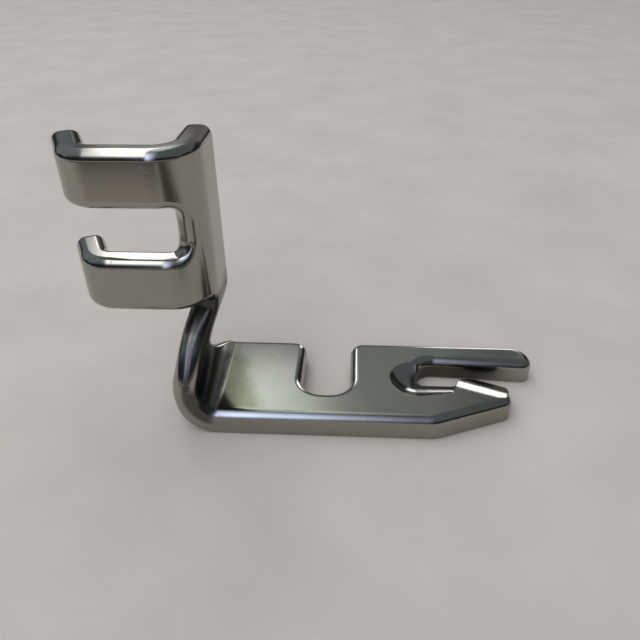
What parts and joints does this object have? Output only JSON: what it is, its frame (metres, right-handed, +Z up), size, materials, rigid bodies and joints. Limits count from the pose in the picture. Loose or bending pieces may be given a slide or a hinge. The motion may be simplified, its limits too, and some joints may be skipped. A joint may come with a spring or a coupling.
{
  "type": "presser foot",
  "caption": "Folded nickel-plated hemmer foot for a low-shank sewing machine: clamp channel for the presser bar, leaning neck, flat sole with a needle notch and a forked toe.",
  "frame": {"origin": "centre of the needle notch's round end, on the underside of the sole", "axes": "+X from the heel to the toes, +Y from the clamp's outer face towards the notched back edge, +Z up from the sole"},
  "size_m": [0.0409, 0.0113, 0.0249],
  "materials": {
    "nickel": "bright nickel plate on folded steel, lightly worn and tarnished"
  },
  "bodies": {
    "root": {"foot": "nickel"}
  },
  "joints": []
}
